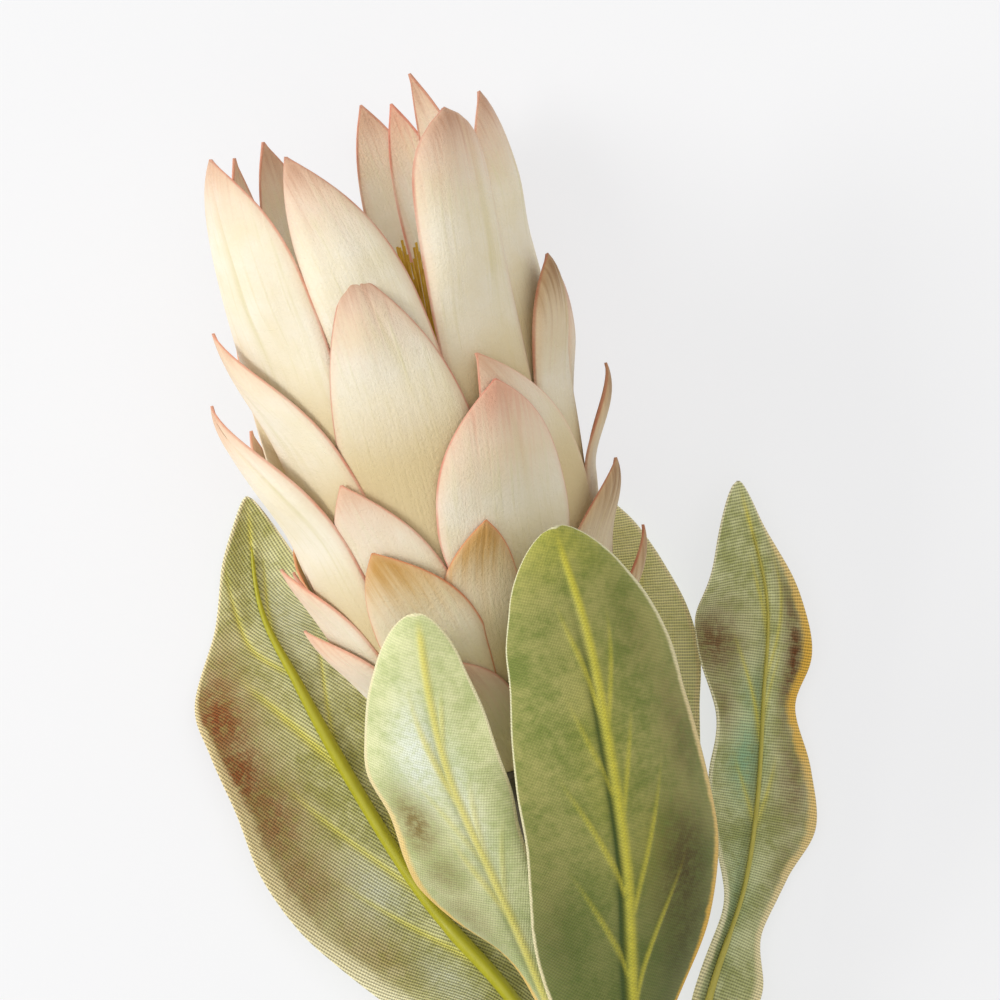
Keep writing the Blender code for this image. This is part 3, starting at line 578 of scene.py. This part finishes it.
def leaf_material(name, light, dark, stain, vein, tint, ribbed):
    """Ribbed polyester cloth with a printed, stained leaf pattern.

    The eye gets a mottled, washed colour over skew ribs (ribbed is their
    contrast), yellow veins with painted shade darkening the valley beside the
    midline, a darkening low down, brown stains, paler or brighter tints, and a
    cut rim that goes from cream to gold.
    """
    finish, tree = new_material(name)
    blade = add(tree, "ShaderNodeAttribute", {"attribute_name": "blade"})
    cloth = add(tree, "ShaderNodeAttribute", {"attribute_name": "cloth"})
    weave = add(tree, "ShaderNodeAttribute", {"attribute_name": "weave"})
    print_ = add(tree, "ShaderNodeAttribute", {"attribute_name": "print"})
    edge = add(tree, "ShaderNodeSeparateXYZ", {}, {"Vector": (blade, "Vector")})
    inks = add(tree, "ShaderNodeSeparateXYZ", {}, {"Vector": (print_, "Vector")})
    wash = add(tree, "ShaderNodeTexNoise", {}, {"Vector": (cloth, "Vector"), "Scale": 0.1,
                                               "Detail": 5.0, "Roughness": 0.62})
    speck = add(tree, "ShaderNodeTexNoise", {}, {"Vector": (cloth, "Vector"), "Scale": 0.6,
                                                "Detail": 5.0, "Roughness": 0.72})
    mottle = add(tree, "ShaderNodeMath", {"operation": "MULTIPLY_ADD"},
                 {"Value": (speck, "Fac"), "Value_001": 0.55, "Value_002": (wash, "Fac")})
    spread = add(tree, "ShaderNodeMapRange", EASED,
                 {"Value": mottle, "From Min": 0.56, "From Max": 0.98})
    ground = add(tree, "ShaderNodeMix", COLOURS,
                 {"Factor": spread, "A": colour(dark), "B": colour(light)})
    # Tints and stains, both broken up by the mottling.
    broken = add(tree, "ShaderNodeMath", {"operation": "MULTIPLY_ADD", "use_clamp": True},
                 {"Value": (speck, "Fac"), "Value_001": 2.4, "Value_002": -0.35})
    tinted_by = add(tree, "ShaderNodeMath", {"operation": "MULTIPLY"},
                    {"Value": (inks, "Y"), "Value_001": broken})
    tinted = add(tree, "ShaderNodeMix", COLOURS,
                 {"Factor": tinted_by, "A": ground, "B": colour(tint)})
    stained_by = add(tree, "ShaderNodeMath", {"operation": "MULTIPLY"},
                     {"Value": (inks, "X"), "Value_001": broken})
    stained = add(tree, "ShaderNodeMix", COLOURS,
                  {"Factor": stained_by, "A": tinted, "B": colour(stain)})
    # Painted shade darkens the valley beside the midline, the leaf is also darkened low
    # down by deep, and the veins lie on top.
    shaded = add(tree, "ShaderNodeMix", COLOURS,
                 {"Factor": (edge, "Y"), "A": stained, "B": colour("#4A5E2A")})
    inked = add(tree, "ShaderNodeMath", {"operation": "MULTIPLY_ADD", "use_clamp": True},
                {"Value": (speck, "Fac"), "Value_001": 0.7, "Value_002": 0.45})
    veined_by = add(tree, "ShaderNodeMath", {"operation": "MULTIPLY"},
                    {"Value": (inks, "Z"), "Value_001": inked})
    veined = add(tree, "ShaderNodeMix", COLOURS,
                 {"Factor": veined_by, "A": shaded, "B": colour(vein)})
    # The cut rim has frayed into the print.
    rim = add(tree, "ShaderNodeMix", COLOURS,
              {"Factor": (edge, "Z"), "A": colour("#F3F0CC"), "B": colour("#F0BC3C")})
    frayed = add(tree, "ShaderNodeMath", {"operation": "MULTIPLY_ADD"},
                 {"Value": (wash, "Fac"), "Value_001": 1.1, "Value_002": (edge, "X")})
    torn = add(tree, "ShaderNodeMath", {"operation": "MULTIPLY_ADD"},
               {"Value": (speck, "Fac"), "Value_001": 0.9, "Value_002": frayed})
    border = add(tree, "ShaderNodeMapRange", EASED,
                 {"Value": torn, "From Min": 1.5, "From Max": 2.25, "To Min": 0.85,
                  "To Max": 0.0})
    rimmed = add(tree, "ShaderNodeMix", COLOURS,
                 {"Factor": border, "A": veined, "B": rim})
    # Ribs of 0.64 mm with darker gaps, notched by the threads that cross them.
    ribs = add(tree, "ShaderNodeTexWave", {"bands_direction": "X", "wave_profile": "SIN"},
               {"Vector": (weave, "Vector"), "Scale": 0.49, "Distortion": 0.6, "Detail": 1.0,
                "Detail Scale": 1.0})
    threads = add(tree, "ShaderNodeTexWave", {"bands_direction": "Y", "wave_profile": "SIN"},
                  {"Vector": (weave, "Vector"), "Scale": 0.6, "Distortion": 1.2,
                   "Detail": 1.0})
    relief = add(tree, "ShaderNodeMath", {"operation": "MULTIPLY_ADD"},
                 {"Value": (threads, "Fac"), "Value_001": 0.35, "Value_002": (ribs, "Fac")})
    shade = add(tree, "ShaderNodeMapRange", {},
                {"Value": relief, "From Max": 1.1, "To Min": 1.0 - ribbed,
                 "To Max": 1.0 + 0.4 * ribbed})
    woven = add(tree, "ShaderNodeVectorMath", {"operation": "SCALE"},
                {"Vector": rimmed, "Scale": shade})
    bump = add(tree, "ShaderNodeBump", {}, {"Strength": 0.5, "Distance": 0.00025,
                                           "Height": relief})
    shader = add(tree, "ShaderNodeBsdfPrincipled", {},
                 {"Base Color": woven, "Roughness": 0.7, "Specular IOR Level": 0.3,
                  "Sheen Weight": 0.1, "Normal": bump})
    add(tree, "ShaderNodeOutputMaterial", {}, {"Surface": shader})
    return finish


def plain_material(name, low, high, roughness, grain_mm, bump_mm, stretch=(1.0, 1.0, 1.0)):
    """A finish that drifts between two colours over grains of a given size."""
    finish, tree = new_material(name)
    where = add(tree, "ShaderNodeTexCoord")
    scaled = add(tree, "ShaderNodeVectorMath", {"operation": "MULTIPLY"},
                 {"Vector": (where, "Object"), "Vector_001": stretch})
    grain = add(tree, "ShaderNodeTexNoise", {},
                {"Vector": scaled, "Scale": 1.0 / (grain_mm * MM), "Detail": 4.0})
    body = add(tree, "ShaderNodeMix", COLOURS,
               {"Factor": (grain, "Fac"), "A": colour(low), "B": colour(high)})
    bump = add(tree, "ShaderNodeBump", {}, {"Strength": 0.5, "Distance": bump_mm * MM,
                                           "Height": (grain, "Fac")})
    shader = add(tree, "ShaderNodeBsdfPrincipled", {},
                 {"Base Color": body, "Roughness": roughness, "Normal": bump})
    add(tree, "ShaderNodeOutputMaterial", {}, {"Surface": shader})
    return finish


# ---- the pieces ----

def bract_half(half_width, v, up, close, radius):
    """Half the width: a sine swell to the middle, then the power-law close."""
    widest_angle = FOOT_HALF_ANGLE + EXTRA_HALF_ANGLE * smooth((up - EXTRA_FROM) / EXTRA_OVER)
    swell = BRACT_FOOT_WIDTH + (1.0 - BRACT_FOOT_WIDTH) * np.sin(
        0.5 * math.pi * np.clip(v / BRACT_WIDEST, 0.0, 1.0))
    return np.clip(half_width * swell * close, BRACT_TIP_HALF, widest_angle * radius)


def make_bract(bract, finishes):
    """One bract: the bowl's curve at its layer, with crown, keel, groove and roll.

    s runs from foot to tip and t from edge to edge. The width closes towards the
    tip by a power law. The keel is a rounded tent over t, the groove a narrow
    bell, long low waves pucker the cloth, and each edge rolls in.
    """
    name, low, high, tip, half_width, layer, lean, free_up, blunt, finish = bract
    keel_at, keel, groove_at, groove = FORMS.get(name, PLAIN_FORM)
    seed = seed_of(name)
    columns, rows = BRACT_GRID
    t = np.sin(0.5 * math.pi * np.linspace(-1.0, 1.0, columns + 1))[None, :]
    s = np.linspace(0.0, 1.0, rows + 1)[:, None]
    s, t = np.broadcast_arrays(s, t)
    up = tip * s ** ROW_EASE
    v = up / tip
    stands = 1.0 - smooth((abs(low) - PRESSED_FROM) / PRESSED_OVER)
    free = smooth((up - free_up) / (tip - free_up))
    close = 1.0 - (np.clip(v - BRACT_WIDEST, 0.0, None) / (1.0 - BRACT_WIDEST)) ** blunt
    shown = stands * smooth((up - free_up) / CROWN_REACH) * close
    tent = 1.0 - np.sqrt((t - keel_at) ** 2 + KEEL_ROUND) / (1.0 + abs(keel_at))
    form = CROWN * (1.0 - t * t) + keel * tent * (1.0 - t ** 4)
    bell = np.exp(-((t - groove_at) / GROOVE_WIDTH) ** 2)
    # Painted shade along the groove: its colour is as strong as the groove is deep.
    groove_shade = min(1.2 * groove, GROOVE_SHADE_MOST) * bell * smooth((up - free_up + 6.0) / 20.0) * close
    form = form - groove * bell
    pucker = PUCKER[0] * np.sin(9.0 * t + 6.28 * seed + 3.0 * v)
    pucker += PUCKER[1] * np.sin(5.0 * t - 9.0 * v + 20.0 * seed)
    roll = -EDGE_ROLL * np.clip((np.abs(t) - ROLL_FROM) / 0.14, 0.0, 1.0) ** 2 * close
    offset = LAYER_PITCH * layer + stands * lean * free + shown * (form + pucker) + roll
    radius, height = shell_point(up, offset)
    half = bract_half(half_width, v, up, close, radius)
    angle = np.radians(low + (high - low) * v ** SWING_POWER) + t * half / radius
    across = radius * np.sin(angle) + HEAD_BOW * height ** 2
    middle = place(across, height, radius * np.cos(angle))
    thin = 0.5 * BRACT_THICKNESS * (0.25 + 0.75 * np.sqrt(np.clip(1.0 - t ** 10, 0.0, 1.0)))
    points, faces = closed_sheet(middle, thin)
    edge = np.minimum((1.0 - np.abs(t)) * half, tip - up)
    layers = {
        "blade": np.stack([edge, tip - up, groove_shade], axis=-1),
        "cloth": np.stack([t * half, up, np.full_like(v, 40.0 * seed)], axis=-1),
        # rise places the painted warm shade at the foot, below where the bract comes free.
        "rise": np.stack([up - free_up, 0.0 * v, 0.0 * v], axis=-1),
    }
    return new_piece(name + "_felt", points, faces, finishes[finish], name,
                     both_skins(layers))


def even_curve(values, s):
    """A smooth curve through evenly spaced values (Hermite, slopes from neighbours)."""
    values = np.array(values, dtype=float)
    slopes = np.gradient(values)
    along = s * (len(values) - 1)
    span = np.clip(along.astype(int), 0, len(values) - 2)
    u = along - span
    return ((2 * u ** 3 - 3 * u ** 2 + 1) * values[span] + (u ** 3 - 2 * u ** 2 + u) * slopes[span]
            + (3 * u ** 2 - 2 * u ** 3) * values[span + 1] + (u ** 3 - u ** 2) * slopes[span + 1])


def by_side(left, right, s, t):
    """The smooth curve of the left values left of the midrib, of the right ones right."""
    return np.where(t < 0, even_curve(left, s), even_curve(right, s))


def leaf_half(leaf, s, t):
    """Half the leaf's width on the side of t, closed by an ellipse at the tip."""
    close = np.clip((s - ROUND_FROM) / (1.0 - ROUND_FROM), 0.0, ROUND_END)
    return by_side(leaf["left"], leaf["right"], s, t) * np.sqrt(1.0 - close ** 2)


def leaf_frame(leaf, s):
    """Midrib point, direction to the right, and facing direction at s."""
    middle = curve_through(leaf["midrib"], s)
    step = 0.002
    along = unit(curve_through(leaf["midrib"], np.clip(s + step, 0, 1))
                 - curve_through(leaf["midrib"], np.clip(s - step, 0, 1)))
    foot, blade, tip = (np.array(side, dtype=float) for side in leaf["face"])
    facing = blade + (tip - blade) * s[..., None]
    facing = foot + (facing - foot) * smooth(s / FOOT_TURN)[..., None]
    right = unit(np.cross(along, facing))
    return middle, right, np.cross(right, along)


def vein_field(leaf, s, t, half):
    """How much vein there is at each point: bells across each branching line.

    A vein leaves the midrib at its foot and swings out to its reach by a power
    of the way up, thinning as it goes. The midline is one more bell.
    """
    low, high, strength = leaf["midline"]
    width = low + (high - low) * s
    field = strength * np.exp(-(t * half / width) ** 2) * smooth((1.0 - s) / 0.06)
    for foot, end, reach, strength, wide in leaf["veins"]:
        way = np.clip((s - foot) / (end - foot), 0.0, 1.0)
        gap = (t - reach * way ** VEIN_SWING) * half
        width = wide * (1.0 - VEIN_THINS * way)
        inside = smooth((s - foot) / 0.02) * smooth((1.0 - way) / 0.5)
        field = np.maximum(field, strength * inside * np.exp(-(gap / width) ** 2))
    return field


def blots(spots, s, t):
    """Soft round spots (up, across, length, width, strength), the strongest winning."""
    field = np.zeros_like(s)
    for up, across, tall, wide, strength in spots:
        spot = np.exp(-((s - up) / tall) ** 2 - ((t - across) / wide) ** 2)
        field = np.maximum(field, strength * spot)
    return field


def make_leaf(name, leaf, finish):
    """One leaf: a folded, rippled blade with sunken veins and a soft margin.

    s runs from foot to tip and t from left to right. The half width is a smooth
    curve through even steps, closed by an ellipse. Each half turns up by an angle
    that grows with t, the margins ripple as sines, and the veins are pressed in as
    bells.
    """
    seed = seed_of(name)
    columns, rows = LEAF_GRID
    t = np.linspace(-1.0, 1.0, columns + 1)[None, :]
    s = np.linspace(0.0, 1.0, rows + 1)[:, None]
    s, t = np.broadcast_arrays(s, t)
    middle, right, facing = leaf_frame(leaf, s)
    length = np.linalg.norm(np.diff(middle[:, 0], axis=0), axis=-1).sum()
    half = leaf_half(leaf, s, t)
    bend = np.radians(np.where(t < 0, *leaf["fold"])) * np.abs(t)
    calm = smooth(s / 0.2) * smooth((1.0 - s) / 0.1)
    height, waves, start = leaf["ripple"]
    phase = 2 * math.pi * (waves * s + start + 0.2 * np.sign(t))
    ripple = height * (np.sin(phase) + 0.3 * np.sin(2.3 * phase + 1.0)) * t * t * calm
    wobble = 0.5 * np.sin(11.0 * s + 4.0 * t + 6.28 * seed) * np.abs(t) * calm
    veins = vein_field(leaf, s, t, half)
    side, depth = leaf["valley"]
    valley = depth * np.exp(-((t * half - side) / VALLEY_WIDTH) ** 2)
    valley = valley * smooth((0.95 - s) / 0.3) * calm
    pressed = leaf["rib"] * (-VEIN_PRESS * veins + VALLEY_PRESS * valley) * calm
    spread = (half * t * np.cos(bend))[..., None] * right
    lift = half * np.abs(t) * np.sin(bend) + ripple + wobble + pressed
    point = middle + spread + lift[..., None] * facing
    sheet = place(point[..., 0], point[..., 1], point[..., 2])
    thin = 0.5 * LEAF_THICKNESS * (0.35 + 0.65 * np.sqrt(np.clip(1.0 - t ** 12, 0.0, 1.0)))
    points, faces = closed_sheet(sheet, thin)
    edge = np.minimum((1.0 - np.abs(t)) * half, (1.0 - s) * length)
    # Painted shade in the valley beside the midline, plus a darkening low down by deep.
    shadow = valley + leaf["deep"] * smooth((0.62 - s) / 0.4)
    bias = math.radians(leaf["bias"])
    across, up = t * half, s * length
    ribs = across * math.cos(bias) + up * math.sin(bias)
    threads = up * math.cos(bias) - across * math.sin(bias)
    layers = {
        "blade": np.stack([edge / np.maximum(by_side(*leaf["rim"], s, t), RIM_LEAST), shadow,
                           by_side(*leaf["gold"], s, t)], axis=-1),
        "cloth": np.stack([across, up, np.full_like(s, 40.0 * seed)], axis=-1),
        "weave": np.stack([ribs, threads, np.full_like(s, seed)], axis=-1),
        "print": np.stack([blots(leaf["stains"], s, t), blots(leaf["tints"], s, t), veins],
                          axis=-1),
    }
    return new_piece(name + "_cloth", points, faces, finish, name,
                     both_skins(layers))


def make_rib(name, leaf, finish):
    """The wire glued along a midrib: a thick sleeve at the foot, then a taper.

    The radius eases between three values, and its end is rounded by a square root.
    """
    s = np.linspace(0.0, WIRE_END, 120)
    middle, _, facing = leaf_frame(leaf, s)
    foot, centre, tip = leaf["wire"]
    start, over = WIRE_THINS
    radius = (foot + (centre - foot) * smooth(s / WIRE_SWELLS_BY)
              + (tip - centre) * smooth((s - start) / over))
    lift = leaf["rib"] * (0.5 * LEAF_THICKNESS + WIRE_GLUE + radius)
    radius = radius + SLEEVE * (1.0 - smooth((s - SLEEVE_END) / SLEEVE_FADE))
    radius = radius * np.sqrt(np.clip((WIRE_END + 0.001 - s) / 0.02, 0.02, 1.0))
    route = middle + lift[:, None] * facing
    turn = np.linspace(0.0, 2.0 * math.pi, WIRE_SIDES, endpoint=False)
    ring = radius[:, None] * (1.0 + 0.04 * np.sin(3.0 * turn)[None, :])
    points, faces = tube(place(*route.T), ring * MM, WIRE_SIDES)
    return new_piece(name + "_wire", points, faces, finish, name + "_rib")


def make_stem(finish):
    """The stem: a rod bowed by a square law, with cosine flutes and a square cut."""
    up = np.linspace(STEM_TOP, STEM_END, 160)
    bow = -STEM_BOW * (up - STEM_TOP) ** 2
    turn = np.linspace(0.0, 2.0 * math.pi, STEM_SIDES, endpoint=False)
    flutes = FLUTE_DEPTH * np.cos(FLUTES * turn)[None, :] + 0.05 * np.sin(0.09 * up)[:, None]
    ring = STEM_RADIUS - FLUTE_DEPTH + flutes
    points, faces = tube(place(bow, up, 0.0 * up), ring * MM, STEM_SIDES)
    return new_piece("stem_rod", points, faces, finish, "stem")


def make_collar(finish):
    """The taped collar: a profile turned round the axis, wound with crinkled tape.

    The tape's edge is a step in the radius that climbs one pitch per turn, and the
    crinkles are a low sine round the ring.
    """
    outer_radius, outer_up = shell_point(0.0, COLLAR_UNDER)
    profile = np.array([(3.2, 0.2), (outer_radius - 0.4, outer_up - 0.3),
                        (outer_radius, outer_up - 1.2)] + COLLAR_PROFILE)
    way = np.linspace(0.0, 1.0, 90)
    line = curve_through(np.column_stack([profile, np.zeros(len(profile))]), way)
    turn = np.linspace(0.0, 2.0 * math.pi, 72, endpoint=False)
    wind = (line[:, 1:2] / TAPE_PITCH + turn[None, :] / (2.0 * math.pi)) % 1.0
    crinkle = CRINKLE * np.sin(13.0 * turn[None, :] + 9.0 * way[:, None])
    radius = line[:, :1] + TAPE_STEP * smooth(wind / 0.12) * (1.0 - 0.6 * wind) + crinkle
    across, front = radius * np.sin(turn), radius * np.cos(turn)
    rings = place(across, np.broadcast_to(line[:, 1:2], across.shape), front)
    ends = place(np.zeros(2), line[[0, -1], 1], np.zeros(2))
    points, faces = wrap_rings(rings, ends, turned=True)
    return new_piece("collar_tape", points, faces, finish, "stem_collar")


def make_stamens(finish):
    """The tuft: slim fibres that rise from the dome and lean out at their ends.

    A fibre's distance from the axis grows with the square of the way up, and its
    radius tapers and then swells in a small bell at the end.
    """
    chance = np.random.default_rng(7)
    count, rows, sides = STAMENS, 9, 5
    azimuth = chance.uniform(0.0, 2.0 * math.pi, count)
    root = STAMEN_ROOTS * np.sqrt(chance.uniform(0.0, 1.0, count))
    top = root * chance.uniform(1.0, 1.7, count) + 0.4
    reach = chance.uniform(*STAMEN_REACH, count)
    way = np.linspace(0.0, 1.0, rows)
    all_points, all_faces, start = [], [], 0
    for i in range(count):
        out = root[i] + (top[i] - root[i]) * way ** 2
        swing = azimuth[i] + 0.3 * math.sin(9.0 * i) * way ** 2
        up = CORE_TOP - 3.0 + (reach[i] - CORE_TOP + 3.0) * way
        path = place(out * np.sin(swing), up, out * np.cos(swing))
        thick = (0.42 - 0.22 * way + 0.2 * np.exp(-((way - 0.96) / 0.05) ** 2))[:, None] * MM
        points, faces = tube(path, np.repeat(thick, sides, axis=1), sides)
        all_points.append(points)
        all_faces += [[corner + start for corner in face] for face in faces]
        start += len(points)
    return new_piece("stamen_fibres", np.concatenate(all_points), all_faces, finish,
                     "stamen_tuft")


# ---- build ----

bract_finishes = {
    "coral": bract_material("felt_coral_edge", "#EBC8AE", 15.0, 0.8, "#D8A888", "#F0C7AC",
                            "#E39880"),
    "peach": bract_material("felt_peach_tip", "#EBBFA2", 20.0, 0.8, "#E0A088", "#F0BFA6",
                            "#E08C78"),
    "tan": bract_material("felt_tan_tip", "#E4B8A0", 18.0, 0.85, "#BE9076", "#EBC3A6",
                          "#D4907A"),
    "umber": bract_material("felt_umber_tip", "#CBA676", 24.0, 0.8, "#83582F", "#DDB48A",
                            "#B8745A"),
    "ochre": bract_material("felt_ochre_tip", "#D4AC6C", 18.0, 0.95, "#BE8E48", "#EBBE96",
                            "#DC8A62"),
}
for entry in BRACTS:
    make_bract(entry, bract_finishes)

leaf_finishes = {
    "leaf_back_left": leaf_material("cloth_olive_woven", "#DDDDA8", "#B2B26C", "#9A5A30",
                                    "#EEE868", "#D8E0D4", 0.62),
    "leaf_front_left": leaf_material("cloth_mint", "#E4E8B4", "#BFCB8C", "#86743E",
                                     "#E2D868", "#EAF3EA", 0.12),
    "leaf_front_right": leaf_material("cloth_olive", "#AEAD68", "#7E8C42", "#56380E",
                                      "#DCD44A", "#C8C65A", 0.14),
    "leaf_back_right": leaf_material("cloth_light_woven", "#F6F4C4", "#D8DA98", "#9A8A50",
                                     "#E0D86C", "#DEDFA4", 0.45),
    "leaf_side_right": leaf_material("cloth_grey_woven", "#DCE0B0", "#A8AE70", "#6E4420",
                                     "#E8DC54", "#94BE9A", 0.5),
}
wire_finish = plain_material("moulded_lime_plastic", "#A8A61C", "#BDBB2E", 0.42, 3.0, 0.05)
thin_wire_finish = plain_material("painted_thin_wire", "#ABA548", "#C2B95C", 0.6, 2.0, 0.05)
for leaf_name, leaf_shape in LEAVES.items():
    make_leaf(leaf_name, leaf_shape, leaf_finishes[leaf_name])
    thin = leaf_name == "leaf_side_right"
    make_rib(leaf_name, leaf_shape, thin_wire_finish if thin else wire_finish)

make_stem(plain_material("moulded_stem_plastic", "#8F9638", "#A9AC4C", 0.5, 6.0, 0.12,
                         (1.0, 0.12, 1.0)))
make_collar(plain_material("floral_tape", "#3E392C", "#5A5340", 0.8, 1.2, 0.15))
make_stamens(plain_material("ochre_fibre", "#B88A1C", "#E6C03A", 0.65, 2.0, 0.05))
core = bpy.data.objects["flower_core"]
core.material_slots[0].material = plain_material("core_foam", "#C9BE90", "#DDD2A6", 0.9, 1.0, 0.2)

# ---- stage ----

def make_floor():
    """A plain pale surface that glows softly, as a light table does."""
    half = 1.5
    mesh = bpy.data.meshes.new("floor")
    mesh.from_pydata([(-half, -half, 0), (half, -half, 0), (half, half, 0), (-half, half, 0)],
                     [], [(0, 1, 2, 3)])
    finish, tree = new_material("pale_board")
    shader = add(tree, "ShaderNodeBsdfPrincipled", {},
                 {"Base Color": colour("#9A9A9A"), "Roughness": 0.9,
                  "Emission Color": colour("#F8FAFF"), "Emission Strength": 0.64})
    add(tree, "ShaderNodeOutputMaterial", {}, {"Surface": shader})
    mesh.materials.append(finish)
    floor = bpy.data.objects.new("floor", mesh)
    bpy.context.scene.collection.objects.link(floor)


def make_light(name, aim, kind):
    """A square soft box that faces its aim."""
    (right, ahead, height), size, power = kind
    at = (aim[0] + right, aim[1] + ahead, height)
    lamp = bpy.data.lights.new(name, "AREA")
    lamp.shape = "SQUARE"
    lamp.size = size
    lamp.energy = power
    box = bpy.data.objects.new(name, lamp)
    bpy.context.scene.collection.objects.link(box)
    box.location = at
    direction = np.array(aim) - np.array(at)
    pitch = math.atan2(math.hypot(direction[0], direction[1]), -direction[2])
    box.rotation_euler = (pitch, 0.0, math.atan2(direction[1], direction[0]) - 0.5 * math.pi)


def make_camera(aim):
    """A long lens that looks straight down, turned so that the axis leans."""
    lens = bpy.data.cameras.new("camera")
    lens.lens = LENS_MM
    lens.sensor_width = SENSOR_MM
    lens.clip_end = 20.0
    camera = bpy.data.objects.new("camera", lens)
    bpy.context.scene.collection.objects.link(camera)
    camera.location = (aim[0], aim[1], aim[2] + FRAME_MM * MM * LENS_MM / SENSOR_MM)
    camera.rotation_euler = (0.0, 0.0, LEAN)
    bpy.context.scene.camera = camera


def make_room():
    """Warm light from all round, with plain display colours."""
    world = bpy.data.worlds.new("soft_room")
    world.use_nodes = True
    background = world.node_tree.nodes["Background"].inputs
    background["Color"].default_value = ROOM_TINT
    background["Strength"].default_value = ROOM_STRENGTH
    bpy.context.scene.world = world
    bpy.context.scene.view_settings.view_transform = "Standard"


make_floor()
flower_aim = place(np.array(AIM[0]), np.array(AIM[1]), np.array(0.0))
make_camera(flower_aim)
make_light("key", flower_aim, KEY_LIGHT)
make_light("fill", flower_aim, FILL_LIGHT)
make_room()
